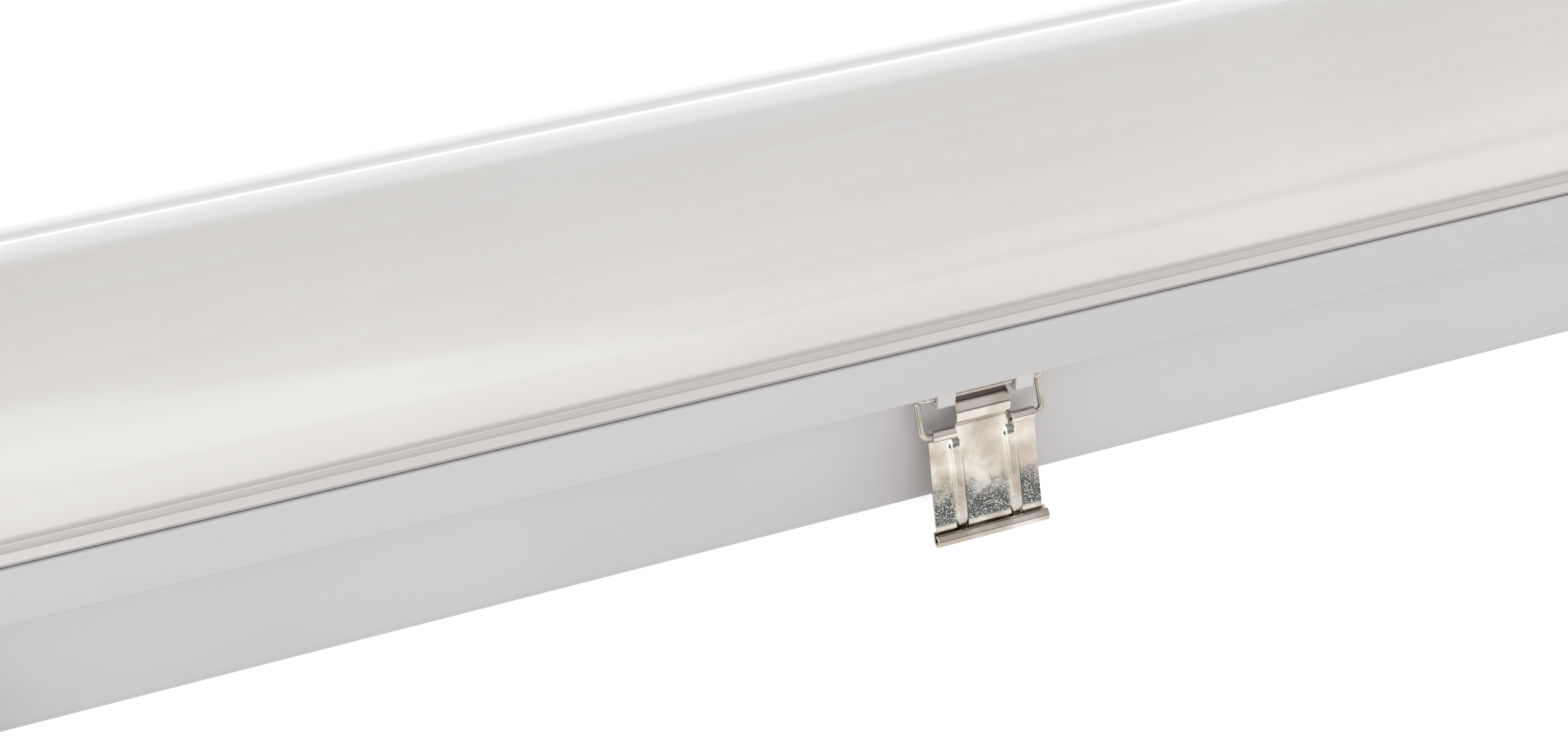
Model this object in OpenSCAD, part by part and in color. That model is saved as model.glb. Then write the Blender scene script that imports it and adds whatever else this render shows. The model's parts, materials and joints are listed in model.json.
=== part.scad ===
// Vapor tight light fixture, lying on its back with the diffuser up and its latches hanging open.
// The origin is in the middle of the flat back. X runs along the fixture, Z towards the diffuser.

/* [Housing] */
// Length over the rim
body_l = 660; // [650:5:760]
// Width over the rim
body_w = 104; // [102:0.5:112]
// Corner radius of the rim, in plan
rim_r = 30; // [28:0.5:36]
// Height of the tub below the rim
tub_h = 37.5; // [36.5:0.25:42]
// Height of the rim's outer wall
rim_h = 13.8; // [13.4:0.1:15]
// Lean of the tub's walls, as the run from the back to the rim
taper = 4; // [3:0.25:5]
// Radius along the edges of the back
back_edge_r = 5; // [4:0.25:6]
// Wall of the tub
tub_wall = 2.4; // [2:0.1:3]
// Wall of the rim
rim_wall = 2; // [1.7:0.1:2.2]
// Setback of the tub's walls behind the rim
tub_setback = 8; // [7.8:0.1:8.6]
// Width of the gasket groove
groove_w = 5.6; // [5.2:0.1:5.6]
// Distance from the rim's end to a fixing hole
fixing_end = 110; // [100:5:130]
// Diameter of the fixing holes
fixing_d = 5.5; // [4.5:0.1:6.5]

/* [Diffuser] */
// Height of the dome above its shoulder
dome_h = 33.2; // [31:0.1:36]
// Height of the dome's upright foot
dome_foot = 5.1; // [4:0.1:7]
// Setback of the dome behind the rim
dome_setback = 5.6; // [5.4:0.1:6.2]
// Radius of the dome's haunch
haunch_r = 24; // [20:0.5:28]
// Thickness of the diffuser's wall
lens_wall = 2; // [1.6:0.1:2.4]
// Gap between the flange and the rim while the latches are open
flange_gap = 0.5; // [0.35:0.05:0.55]

/* [Latches] */
// Distance from the rim's end to the outer latches
latch_end = 82; // [76:1:100]
// Diameter of the bail's wire
wire_d = 1.5; // [1.4:0.02:1.6]
// Distance from the bail's hinge line to its knuckle line
bail_l = 9.8; // [9.75:0.05:10]
// Distance between the centres of the bail's legs
bail_w = 30.6; // [30.2:0.1:32]
// Thickness of the lever's sheet
sheet = 0.7; // [0.6:0.02:0.74]
// Width of the lever's plate
plate_w = 27; // [26.6:0.1:28]
// Length of the lever's plate, from its knuckles to its rolled edge
plate_l = 25.5; // [24:0.1:26]
// Lean of the open lever from upright, in degrees
lever_lean = 15.5; // [12:0.5:19]
// Lean of the open bail from upright, in degrees
bail_lean = 4.5; // [3:0.5:6]

/* [Inside] */
// Gap between the gear tray's sides and the housing
tray_gap = 2.6; // [2:0.1:4]
// Gap between the gear tray's ends and the housing
tray_end_gap = 24.6; // [20:0.2:28]
// Thickness of the gear tray's sheet
tray_sheet = 0.8; // [0.6:0.05:1]
// Tray left bare beyond an LED board
board_end = 7; // [4:0.5:12]
// Width of an LED board
board_w = 24; // [20:0.5:26]
// LED packages on a board
leds = 24; // [18:1:26]
// Length of the LED driver
driver_l = 148; // [130:1:160]

/* [Cable entry] */
// Bore for the cable gland and the blanking plug
entry_d = 20.3; // [20:0.1:20.6]
// Bore through the gland for the cable
cable_d = 11; // [8:0.25:12]

/* [Hidden] */
$fn = 96;
small_fn = 48;
over = 0.5;
quarter = 90;
half_turn = 2 * quarter;
arc_steps = 14;
haunch_steps = 9;
crown_steps = 14;
sides = [-1, 1];

// Housing
rim_top = tub_h + rim_h;
groove_floor = tub_h + tub_wall;
knee_z = tub_h + tub_wall / 2;
groove_in = rim_wall + groove_w;
cavity_in = tub_setback + tub_wall;
inner_drop = 2.8;
inner_top = rim_top - inner_drop;
edge_r = 0.8;
lip_chamfer = 0.5;
fixing_span = body_l - 2 * fixing_end;
collar_w = 4;
collar_h = 2;
entry_share = 8 / 15;
entry_z = entry_share * tub_h;
entry_proud = 1;
entry_inner = 5.8;
entry_pad_w = 4.8;
entry_seat = body_l / 2 - tub_setback + entry_proud;
entry_back = entry_seat - entry_proud - entry_inner;

// Gasket and diffuser
gasket_h = 4;
gasket_play = 0.3;
gasket_round = 1.2;
seat_gap = 0.3;
flange_in = 0.6;
flange_edge = 0.35;
margin_w = 2.2;
margin_rise = 1.15;
flange_low = rim_top + flange_gap;
flange_top = flange_low + flange_edge + margin_rise;
rib_in = 4;
rib_w = 1.8;
shoulder = flange_top + dome_foot;

// Latches
latch_pitch = body_l / 2 - latch_end;
wire_r = wire_d / 2;
bore_play = 0.08;
knuckle_play = 0.06;
knuckle_ri = wire_r + knuckle_play;
knuckle_ro = knuckle_ri + sheet;
front_wall = 0.92;
pivot_in = front_wall + bore_play + wire_r;
pivot_drop = 1;
lug_w = 4.5;
lug_x = 9.9;
lug_under = 2.3;
lug_depth = 4.2;
lug_chamfer = 0.8;
latch_gap = 0.24;
bail_crank = pivot_in + knuckle_ro + latch_gap;
bail_rise = sqrt(bail_l * bail_l - bail_crank * bail_crank);
bail_turn_r = 1.6;
bail_swing = atan2(bail_rise, bail_crank) + quarter - bail_lean;
knuckle_end = 13;
knuckle_w = 5.8;
pin_in = 0.4;
slit = 0.4;
slit_drop = 1.6;
tongue_w = 2 * (knuckle_end - knuckle_w - slit);
shoulder_w = plate_w / 2 - tongue_w / 2 - slit;
tongue_bulge_r = 2;
tongue_bulge = 55;
tongue_r = 3.4;
tongue_end = 80;
tongue_tip = 0.4;
tongue_corner = 1.6;
bulge_steps = 6;
curl_steps = 16;
roll_r = 1.5;
roll_over = 0.75;
roll_skirt = 2.2;
bead_x = 7;
bead_r = 2.6;
bead_sunk = 1.9;
bead_top = 4.2;
bead_low = 22;

// Inside
tray_rise = 4.5;
tray_z = tub_h + tray_rise;
tray_l = body_l - 2 * (cavity_in + tray_end_gap);
tray_w = body_w - 2 * (cavity_in + tray_gap);
tray_top = tray_z + tray_sheet;
tray_lip = 9;
screw_d = 3.2;
screw_play = 0.05;
screw_depth = 12;
tray_hole_play = 0.5;
head_d = 7.4;
head_h = 2.4;
post_d = 9;
post_in = 20;
post_clear = 8.3;
post_x = tray_l / 2 - post_in;
post_y = board_w / 2 + head_d / 2 + post_clear;
slot_w = 1;
slot_depth = 0.9;
board_t = 1.6;
board_gap = 6;
board_l = (tray_l - board_gap) / 2 - board_end;
board_top = tray_top + board_t;
led_l = 3.5;
led_w = 2.8;
led_h = 0.8;
rivet_d = 3;
rivet_head_d = 5;
rivet_head_h = 1.2;
rivet_in = 5;
rivet_side = 4;
rivet_y = board_w / 2 - rivet_side;
feed_pitch = 3.4;
lead_d = 2.2;
grommet_w = 2 * (feed_pitch + lead_d);
grommet_lip = 1.5;
grommet_clear = 1.1;
feed_y = board_w / 2 + grommet_w / 2 + grommet_lip + grommet_clear;
feed_side = 2.8;
driver_w = 2 * (feed_y + feed_side);
driver_h = 20;
driver_end_in = 101;
driver_x = driver_end_in + driver_l / 2 - tray_l / 2;
driver_tab_l = 9;
driver_tab_t = 1.5;
driver_screw_in = 6;
driver_screw_y = driver_w / 2 - driver_screw_in;
driver_chamfer = 1.5;
terminal_l = 17;
terminal_pitch = 6.2;
terminal_w = 3 * terminal_pitch;
terminal_h = 15;
terminal_in = 64.2;
terminal_x = entry_back - terminal_in;
lead_side = 7.5;
terminal_y = driver_w / 2 - lead_side;
terminal_hole_d = 4;
terminal_hole_z = 6.2;
terminal_screw_d = 4.4;
terminal_screw_h = 1;
terminal_screw_z = tub_wall + terminal_h - terminal_screw_h - slot_depth;
earth_in = 37;
earth_side = 13;
earth_x = terminal_x - earth_in;
earth_y = tray_w / 2 - earth_side;
tag_t = 0.6;
tag_w = 8;
tag_tail = 12;
lead_turn = 6;
lead_riser_in = 22;
lead_drop = 12;
lead_end_z = tray_z - lead_drop;
feed_drop = 11;
feed_z = tray_z - feed_drop;
feed_run = 14;
feed_turn = 3.2;
feed_x = driver_x - driver_l / 2;
grommet_x = feed_x - feed_run - feed_turn;
grommet_t = 1.2;
grommet_wall = 1.2;
plug_l = 9;
plug_w = 8;
plug_h = 4.2;
plug_in = 10;
board_feed_z = board_top + plug_h / 2;

// Cable entry
entry_play = 0.1;
nut_t = 5;
nut_across = 25;
hex_t = 5.5;
hex_across = 24;
dome_nut_d = 22.4;
dome_nut_l = 15;
dome_nut_round = 3;
gland_wall = 2.4;
seal_wall = 3.2;
seal_proud = 1;
seal_play = 0.1;
tail_end = 1;
ridges = 18;
ridge_d = 1.6;
plug_head_d = 27;
plug_head_t = 4;
plug_slot_w = 3;
plug_slot_l = 16;
ring_t = 1.6;
ring_d = 24;

// Shapes that several pieces share

// Points along an arc between two angles
function arc_points(cx, cy, r, from, to, steps) =
  [for (i = [0 : steps]) let (a = from + (to - from) * i / steps) [cx + r * cos(a), cy + r * sin(a)]];

// A rectangle with round corners
module round_rect(l, w, r) {
  square([l, w - 2 * r], center = true);
  square([l - 2 * r, w], center = true);
  for (x = sides, y = sides)
    translate([x * (l / 2 - r), y * (w / 2 - r)]) circle(r = r);
}

// An upright prism over the rim's plan, drawn in from the rim
module plan_prism(inset, low, high) {
  translate([0, 0, low])
    linear_extrude(high - low)
      round_rect(body_l - 2 * inset, body_w - 2 * inset, rim_r - inset);
}

// A profile carried round the rim, whose x is measured from the centre of the rim's corners
module around_rim() {
  straight = body_l - 2 * rim_r;
  across = body_w - 2 * rim_r;
  for (x = sides, y = sides)
    translate([x * straight / 2, y * across / 2, 0])
      mirror([x < 0 ? 1 : 0, 0, 0])
        mirror([0, y < 0 ? 1 : 0, 0])
          rotate_extrude(angle = quarter) children();
  for (turn = [0, half_turn])
    rotate([0, 0, turn]) {
      translate([-straight / 2, across / 2, 0])
        rotate([quarter, 0, quarter]) linear_extrude(straight) children();
      translate([straight / 2, across / 2, 0])
        rotate([quarter, 0, 0]) linear_extrude(across) children();
    }
}

// A section of the fixture, extruded along it
module along(l) {
  translate([-l / 2, 0, 0]) rotate([quarter, 0, quarter]) linear_extrude(l) children();
}

// A section of the fixture, extruded across it
module across(w) {
  translate([0, w / 2, 0]) rotate([quarter, 0, 0]) linear_extrude(w) children();
}

// A cylinder along X that starts at x = 0
module rod_x(d, l) {
  rotate([0, quarter, 0]) cylinder(d = d, h = l);
}

// A quarter bend of wire from the X axis to the Y axis, about the origin
module bend(r, d) {
  rotate_extrude(angle = quarter) translate([r, 0]) circle(d = d, $fn = small_fn);
}

// A pan-head screw whose shank points down from z = 0
module pan_screw(shank_d, shank_l) {
  translate([0, 0, -shank_l]) cylinder(d = shank_d, h = shank_l, $fn = small_fn);
  difference() {
    cylinder(d = head_d, h = head_h, $fn = small_fn);
    translate([-head_d / 2, -slot_w / 2, head_h - slot_depth]) cube([head_d, slot_w, slot_depth + over]);
  }
}

// Housing

// Half the width or length of the tub at a height, where half is its value inside the rim
function tub_half(half, z) = half - taper * (1 - z / knee_z);

// One side of the tub's outline, from the floor up
function tub_side(half, r, floor_z, high) =
  let (lean = atan(taper / knee_z), cz = floor_z + r)
  concat(
    arc_points(tub_half(half, cz) - r / cos(lean), cz, r, -quarter, -lean, arc_steps),
    [[half, knee_z], [half, high]]
  );

module tub_outline(half, r, floor_z, high) {
  side = tub_side(half, r, floor_z, high);
  polygon(concat(side, [for (i = [len(side) - 1 : -1 : 0]) [-side[i].x, side[i].y]]));
}

module tub_solid(inset, r, floor_z, high) {
  intersection() {
    plan_prism(inset, floor_z, high);
    along(body_l) tub_outline(body_w / 2 - inset, r, floor_z, high);
    across(body_w) tub_outline(body_l / 2 - inset, r, floor_z, high);
  }
}

module rim_profile() {
  outer = rim_r - rim_wall;
  difference() {
    union() {
      translate([outer, tub_h]) square([rim_wall, rim_h - edge_r]);
      translate([outer + edge_r, tub_h]) square([rim_wall - 2 * edge_r, rim_h]);
      for (x = [outer + edge_r, rim_r - edge_r])
        translate([x, rim_top - edge_r]) circle(r = edge_r, $fn = small_fn);
      translate([rim_r - cavity_in, tub_h]) square([cavity_in, tub_wall]);
      translate([rim_r - cavity_in, tub_h]) square([cavity_in - groove_in, inner_top - tub_h]);
    }
    translate([rim_r, tub_h]) rotate(quarter / 2) square(lip_chamfer * sqrt(2), center = true);
  }
}

// What holds for each latch: a frame at the bail's hinge line, with -Y pointing away from the housing
module at_latch(rear, place) {
  rotate([0, 0, rear ? half_turn : 0])
    translate([(rear ? -1 : 1) * place * latch_pitch, pivot_in - body_w / 2, tub_h - pivot_drop])
      children();
}

module at_all_latches() {
  for (rear = [false, true], place = [-1, 0, 1]) at_latch(rear, place) children();
}

module lug_blocks() {
  for (x = sides)
    translate([x * lug_x - lug_w / 2, -pivot_in, -lug_under]) {
      difference() {
        cube([lug_w, lug_depth, lug_under + pivot_drop + tub_wall / 2]);
        rotate([quarter / 2, 0, 0])
          translate([-over, -lug_chamfer / 2, -lug_chamfer])
            cube([lug_w + 2 * over, lug_chamfer, 2 * lug_chamfer]);
      }
    }
}

module lug_bores() {
  for (x = sides)
    translate([x * lug_x - lug_w / 2 - over, 0, 0])
      rod_x(wire_d + 2 * bore_play, lug_w + 2 * over, $fn = small_fn);
}

module at_posts() {
  for (x = sides, y = sides) translate([x * post_x, y * post_y, 0]) children();
}

module at_fixings() {
  for (x = sides) translate([x * fixing_span / 2, 0, 0]) children();
}

module base_housing() {
  color("gainsboro")
    difference() {
      union() {
        difference() {
          union() {
            tub_solid(tub_setback, back_edge_r, 0, groove_floor);
            around_rim() rim_profile();
          }
          tub_solid(cavity_in, back_edge_r - tub_wall, tub_wall, groove_floor + over);
        }
        at_fixings() cylinder(d = fixing_d + 2 * collar_w, h = tub_wall + collar_h);
        at_posts() translate([0, 0, tub_wall / 2]) cylinder(d = post_d, h = tray_z - tub_wall / 2);
        for (turn = [0, half_turn])
          rotate([0, 0, turn])
            translate([entry_back, 0, entry_z])
              rod_x(entry_d + 2 * entry_pad_w, entry_seat - entry_back);
        at_all_latches() lug_blocks();
      }
      at_fixings() translate([0, 0, -over]) cylinder(d = fixing_d, h = tub_wall + collar_h + 2 * over);
      at_posts()
        translate([0, 0, tray_z - screw_depth])
          cylinder(d = screw_d + 2 * screw_play, h = screw_depth + over, $fn = small_fn);
      for (turn = [0, half_turn])
        rotate([0, 0, turn])
          translate([entry_back - over, 0, entry_z])
            rod_x(entry_d, entry_seat - entry_back + 2 * over);
      at_all_latches() lug_bores();
    }
}

module gasket() {
  color("dimgray")
    around_rim() {
      w = groove_w - 2 * gasket_play;
      translate([rim_r - groove_in + gasket_play, groove_floor]) {
        square([w, gasket_h - gasket_round]);
        translate([gasket_round, 0]) square([w - 2 * gasket_round, gasket_h]);
        for (x = [gasket_round, w - gasket_round])
          translate([x, gasket_h - gasket_round]) circle(r = gasket_round, $fn = small_fn);
      }
    }
}

// Diffuser

// The dome's section: an upright foot, a round haunch at each side and a flatter crown between them
module dome_section(inset, low) {
  half = body_w / 2 - dome_setback;
  haunch_x = half - haunch_r;
  crown_r = (haunch_x * haunch_x + dome_h * dome_h - haunch_r * haunch_r) / (2 * (dome_h - haunch_r));
  crown_z = shoulder + dome_h - crown_r;
  a = atan2(shoulder - crown_z, haunch_x);
  polygon(concat(
    [[half - inset, low]],
    arc_points(haunch_x, shoulder, haunch_r - inset, 0, a, haunch_steps),
    arc_points(0, crown_z, crown_r - inset, a, half_turn - a, crown_steps),
    arc_points(-haunch_x, shoulder, haunch_r - inset, half_turn - a, half_turn, haunch_steps),
    [[inset - half, low]]
  ));
}

// The dome seen from the side: its ends are rounded over
module dome_side(inset, low) {
  half = body_l / 2 - dome_setback;
  polygon(concat(
    [[half - inset, low]],
    arc_points(half - dome_h, shoulder, dome_h - inset, 0, quarter, haunch_steps),
    arc_points(dome_h - half, shoulder, dome_h - inset, quarter, half_turn, haunch_steps),
    [[inset - half, low]]
  ));
}

module dome_solid(inset, low) {
  intersection() {
    plan_prism(dome_setback + inset, low, shoulder + dome_h);
    along(body_l) dome_section(inset, low);
    across(body_w) dome_side(inset, low);
  }
}

module flange_profile() {
  edge = rim_r - flange_in;
  foot = rim_r - dome_setback - lens_wall;
  polygon([
    [foot, flange_low],
    [edge, flange_low],
    [edge, flange_low + flange_edge],
    [edge - margin_w, flange_top],
    [foot, flange_top]
  ]);
  rib_low = groove_floor + gasket_h + seat_gap;
  translate([rim_r - rib_in - rib_w, rib_low]) square([rib_w, flange_low - rib_low + over]);
}

module diffuser() {
  color("whitesmoke")
    union() {
      difference() {
        dome_solid(0, flange_low);
        dome_solid(lens_wall, flange_low - over);
      }
      around_rim() flange_profile();
    }
}

// Latches

// Half of the bail's centre line: hinge run, crank away from the housing, leg and knuckle pin
module bail_half() {
  leg_x = bail_w / 2;
  r = bail_turn_r;
  rod_x(wire_d, leg_x - r, $fn = small_fn);
  translate([leg_x - r, -r, 0]) bend(r, wire_d);
  translate([leg_x, -r, 0])
    rotate([quarter, 0, 0]) cylinder(d = wire_d, h = bail_crank - 2 * r, $fn = small_fn);
  translate([leg_x, r - bail_crank, r])
    rotate([-quarter, 0, 0]) rotate([0, quarter, 0]) bend(r, wire_d);
  translate([leg_x, -bail_crank, r]) cylinder(d = wire_d, h = bail_rise - 2 * r, $fn = small_fn);
  translate([leg_x - r, -bail_crank, bail_rise - r]) rotate([quarter, 0, 0]) bend(r, wire_d);
  pin_start = knuckle_end - knuckle_w + pin_in;
  translate([pin_start, -bail_crank, bail_rise]) rod_x(wire_d, leg_x - r - pin_start, $fn = small_fn);
}

// The bail as it hangs open
module bail() {
  color("silver")
    rotate([bail_swing, 0, 0]) {
      bail_half();
      mirror([1, 0, 0]) bail_half();
    }
}

module knuckle() {
  difference() {
    rod_x(2 * knuckle_ro, knuckle_w, $fn = small_fn);
    translate([-over, 0, 0]) rod_x(2 * knuckle_ri, knuckle_w + 2 * over, $fn = small_fn);
  }
}

// The tongue swells out past the knuckle line and curls in over the diffuser's flange
function tongue_side(side) =
  let (
    bulge_y = knuckle_ri + sheet / 2 - tongue_bulge_r,
    curl_y = bulge_y + (tongue_bulge_r + tongue_r) * cos(tongue_bulge),
    curl_z = (tongue_bulge_r + tongue_r) * sin(tongue_bulge),
    r = tongue_r - side * sheet / 2
  )
  concat(
    [[knuckle_ri + (1 + side) * sheet / 2, -slit_drop]],
    arc_points(bulge_y, 0, tongue_bulge_r + side * sheet / 2, 0, tongue_bulge, bulge_steps),
    arc_points(curl_y, curl_z, r, half_turn + tongue_bulge, tongue_end, curl_steps),
    [[
      curl_y + r * cos(tongue_end) + tongue_tip * sin(tongue_end),
      curl_z + r * sin(tongue_end) - tongue_tip * cos(tongue_end)
    ]]
  );

module tongue() {
  inner = tongue_side(1);
  outer = tongue_side(-1);
  tip = inner[len(inner) - 1];
  difference() {
    along(tongue_w) polygon(concat(inner, [for (i = [len(outer) - 1 : -1 : 0]) outer[i]]));
    for (x = sides)
      translate([x * (tongue_w / 2 - tongue_corner), tip.x - tongue_corner, 0])
        tongue_corner_cut(x, tip.y + sheet + over);
  }
}

module tongue_corner_cut(x, high) {
  difference() {
    translate([x < 0 ? -tongue_corner - over : 0, 0, 0])
      cube([tongue_corner + over, tongue_corner + over, high]);
    cylinder(r = tongue_corner, h = high, $fn = small_fn);
  }
}

// A pressed bead, drawn about its own axis
module bead(r) {
  translate([0, 0, -bead_low]) cylinder(r = r, h = bead_low - bead_top, $fn = small_fn);
  for (z = [-bead_low, -bead_top]) translate([0, 0, z]) sphere(r = r, $fn = small_fn);
}

module at_beads() {
  for (x = sides) translate([x * bead_x, knuckle_ri + bead_sunk, 0]) children();
}

module lever_plate() {
  translate([-plate_w / 2, knuckle_ri, -plate_l]) cube([plate_w, sheet, plate_l - slit_drop]);
  for (x = sides)
    translate([x * (plate_w / 4 + (tongue_w / 2 + slit) / 2) - shoulder_w / 2, knuckle_ri, -slit_drop])
      cube([shoulder_w, sheet, slit_drop]);
  translate([-plate_w / 2 - roll_over, knuckle_ri, -plate_l])
    cube([plate_w + 2 * roll_over, sheet, roll_skirt]);
}

module rolled_edge() {
  w = plate_w + 2 * roll_over;
  translate([-w / 2, knuckle_ro - roll_r, -plate_l])
    difference() {
      rod_x(2 * roll_r, w, $fn = small_fn);
      translate([-over, 0, 0]) rod_x(2 * (roll_r - sheet), w + 2 * over, $fn = small_fn);
      translate([-over, 0, 0]) cube([w + 2 * over, roll_r + over, roll_r + over]);
    }
}

// The lever with its plate hanging straight down from the knuckle line
module lever_shape() {
  difference() {
    union() {
      lever_plate();
      intersection() {
        at_beads() bead(bead_r);
        translate([-plate_w / 2, knuckle_ri - bead_r, -plate_l]) cube([plate_w, bead_r + sheet / 2, plate_l]);
      }
    }
    intersection() {
      at_beads() bead(bead_r - sheet);
      translate([-plate_w / 2, knuckle_ri - bead_r, -plate_l]) cube([plate_w, bead_r + sheet + over, plate_l]);
    }
  }
  tongue();
  rolled_edge();
  translate([knuckle_end - knuckle_w, 0, 0]) knuckle();
  translate([-knuckle_end, 0, 0]) knuckle();
}

// The lever as it hangs from the open bail
module lever() {
  color("silver")
    translate([0, -bail_l * sin(bail_lean), -bail_l * cos(bail_lean)])
      rotate([-lever_lean, 0, 0]) lever_shape();
}

// Inside

module gear_tray() {
  color("white")
    difference() {
      union() {
        translate([-tray_l / 2, -tray_w / 2, tray_z]) cube([tray_l, tray_w, tray_sheet]);
        for (y = sides)
          translate([-tray_l / 2, y * (tray_w - tray_sheet) / 2 - tray_sheet / 2, tray_z - tray_lip])
            cube([tray_l, tray_sheet, tray_lip + tray_sheet]);
      }
      at_posts() tray_hole(screw_d + 2 * tray_hole_play);
      at_driver_screws() tray_hole(screw_d + 2 * screw_play);
      at_rivets() tray_hole(rivet_d + 2 * screw_play);
      translate([earth_x, earth_y, 0]) tray_hole(screw_d + 2 * screw_play);
      translate([grommet_x, feed_y, 0]) tray_hole(grommet_w);
    }
}

module tray_hole(d) {
  translate([0, 0, tray_z - over]) cylinder(d = d, h = tray_sheet + 2 * over, $fn = small_fn);
}

module tray_screws() {
  color("silver")
    at_posts() translate([0, 0, tray_top]) pan_screw(screw_d, tray_sheet + screw_depth - over);
}

module at_rivets() {
  for (board = sides, end = sides, y = sides)
    translate([board * (board_gap + board_l) / 2 + end * (board_l / 2 - rivet_in), y * rivet_y, 0])
      children();
}

module led_board(side) {
  color("white")
    difference() {
      translate([side * (board_gap + board_l) / 2 - board_l / 2, -board_w / 2, tray_top])
        cube([board_l, board_w, board_t]);
      at_rivets()
        translate([0, 0, tray_top - over])
          cylinder(d = rivet_d + 2 * screw_play, h = board_t + 2 * over, $fn = small_fn);
    }
}

module led_packages() {
  pitch = (board_l - 4 * rivet_in) / leds;
  color("khaki")
    for (board = sides, i = [0 : leds - 1])
      translate([board * (board_gap + board_l) / 2 + (i - (leds - 1) / 2) * pitch, 0, board_top])
        translate([-led_l / 2, -led_w / 2, 0]) cube([led_l, led_w, led_h]);
}

module board_rivets() {
  color("white")
    at_rivets()
      translate([0, 0, tray_z]) {
        cylinder(d = rivet_d, h = tray_sheet + board_t, $fn = small_fn);
        translate([0, 0, tray_sheet + board_t])
          cylinder(d = rivet_head_d, h = rivet_head_h, $fn = small_fn);
      }
}

module at_driver_screws() {
  for (x = sides, y = sides)
    translate([driver_x + x * (driver_l + driver_tab_l) / 2, y * driver_screw_y, 0]) children();
}

module led_driver() {
  color("whitesmoke")
    difference() {
      union() {
        translate([driver_x - driver_l / 2, -driver_w / 2, tray_z - driver_h])
          cube([driver_l, driver_w, driver_h]);
        translate([driver_x - driver_l / 2 - driver_tab_l, -driver_w / 2, tray_z - driver_tab_t])
          cube([driver_l + 2 * driver_tab_l, driver_w, driver_tab_t]);
      }
      for (y = sides)
        translate([driver_x - driver_l / 2 - over, y * driver_w / 2, tray_z - driver_h])
          rotate([quarter / 2, 0, 0])
            translate([0, -driver_chamfer, -driver_chamfer])
              cube([driver_l + 2 * over, 2 * driver_chamfer, 2 * driver_chamfer]);
      at_driver_screws()
        translate([0, 0, tray_z - driver_tab_t - over])
          cylinder(d = screw_d + 2 * screw_play, h = driver_tab_t + 2 * over, $fn = small_fn);
    }
}

module driver_screws() {
  color("silver")
    at_driver_screws() translate([0, 0, tray_top]) pan_screw(screw_d, tray_sheet + driver_tab_t);
}

module terminal_block() {
  color("white")
    translate([terminal_x - terminal_l / 2, terminal_y - terminal_w / 2, tub_wall])
      difference() {
        cube([terminal_l, terminal_w, terminal_h]);
        for (i = [0 : 2])
          translate([0, (i + 0.5) * terminal_pitch, 0]) {
            translate([-over, 0, terminal_hole_z])
              rod_x(terminal_hole_d, terminal_l + 2 * over, $fn = small_fn);
            translate([terminal_l / 2, 0, terminal_hole_z])
              cylinder(d = terminal_screw_d + 2 * screw_play, h = terminal_h, $fn = small_fn);
          }
      }
}

module terminal_screws() {
  color("silver")
    for (i = [-1 : 1])
      translate([terminal_x, terminal_y + i * terminal_pitch, terminal_screw_z])
        rotate([0, 0, quarter / 2])
          difference() {
            cylinder(d = terminal_screw_d, h = terminal_screw_h + slot_depth, $fn = small_fn);
            translate([-head_d / 2, -slot_w / 2, terminal_screw_h]) cube([head_d, slot_w, slot_depth + over]);
          }
}

module earth_screw() {
  color("silver")
    translate([earth_x, earth_y, tray_top + tag_t]) pan_screw(screw_d, tag_t + tray_sheet + screw_depth / 2);
}

module earth_tag() {
  color("goldenrod")
    translate([earth_x, earth_y, tray_top])
      difference() {
        union() {
          cylinder(d = tag_w, h = tag_t, $fn = small_fn);
          translate([0, -tag_w / 4, 0]) cube([tag_tail, tag_w / 2, tag_t]);
        }
        translate([0, 0, -over]) cylinder(d = screw_d + 2 * screw_play, h = tag_t + 2 * over, $fn = small_fn);
      }
}

// Three leads from the terminal block along the floor and up into the end of the driver
module supply_leads() {
  start_x = terminal_x - terminal_l / 2 + terminal_l / 4;
  low_z = tub_wall + terminal_hole_z;
  driver_end = driver_x + driver_l / 2;
  riser_x = driver_end + lead_riser_in;
  color("saddlebrown")
    for (i = [-1 : 1])
      translate([0, terminal_y + i * terminal_pitch, 0]) {
        translate([riser_x + lead_turn, 0, low_z]) rod_x(lead_d, start_x - riser_x - lead_turn, $fn = small_fn);
        translate([riser_x + lead_turn, 0, low_z + lead_turn])
          rotate([quarter, 0, 0]) rotate([0, 0, half_turn]) bend(lead_turn, lead_d);
        translate([riser_x, 0, low_z + lead_turn])
          cylinder(d = lead_d, h = lead_end_z - low_z - 2 * lead_turn, $fn = small_fn);
        translate([riser_x - lead_turn, 0, lead_end_z - lead_turn])
          rotate([quarter, 0, 0]) bend(lead_turn, lead_d);
        translate([driver_end, 0, lead_end_z]) rod_x(lead_d, riser_x - lead_turn - driver_end, $fn = small_fn);
      }
}

// Two leads from the driver, up through the tray and over to the connector on the left board
module board_leads() {
  connector_y = board_w / 2 - plug_in + plug_w;
  r = feed_turn;
  color("firebrick")
    for (i = sides) {
      x = grommet_x + i * feed_pitch / 2;
      z = feed_z + i * feed_pitch / 2;
      translate([x + r, feed_y, z]) rod_x(lead_d, feed_x - x - r, $fn = small_fn);
      translate([x + r, feed_y, z + r])
        rotate([quarter, 0, 0]) rotate([0, 0, half_turn]) bend(r, lead_d);
      translate([x, feed_y, z + r]) cylinder(d = lead_d, h = board_feed_z - z - 2 * r, $fn = small_fn);
      translate([x, feed_y - r, board_feed_z - r]) rotate([quarter, 0, quarter]) bend(r, lead_d);
      translate([x, feed_y - r, board_feed_z])
        rotate([quarter, 0, 0]) cylinder(d = lead_d, h = feed_y - r - connector_y, $fn = small_fn);
    }
}

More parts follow.
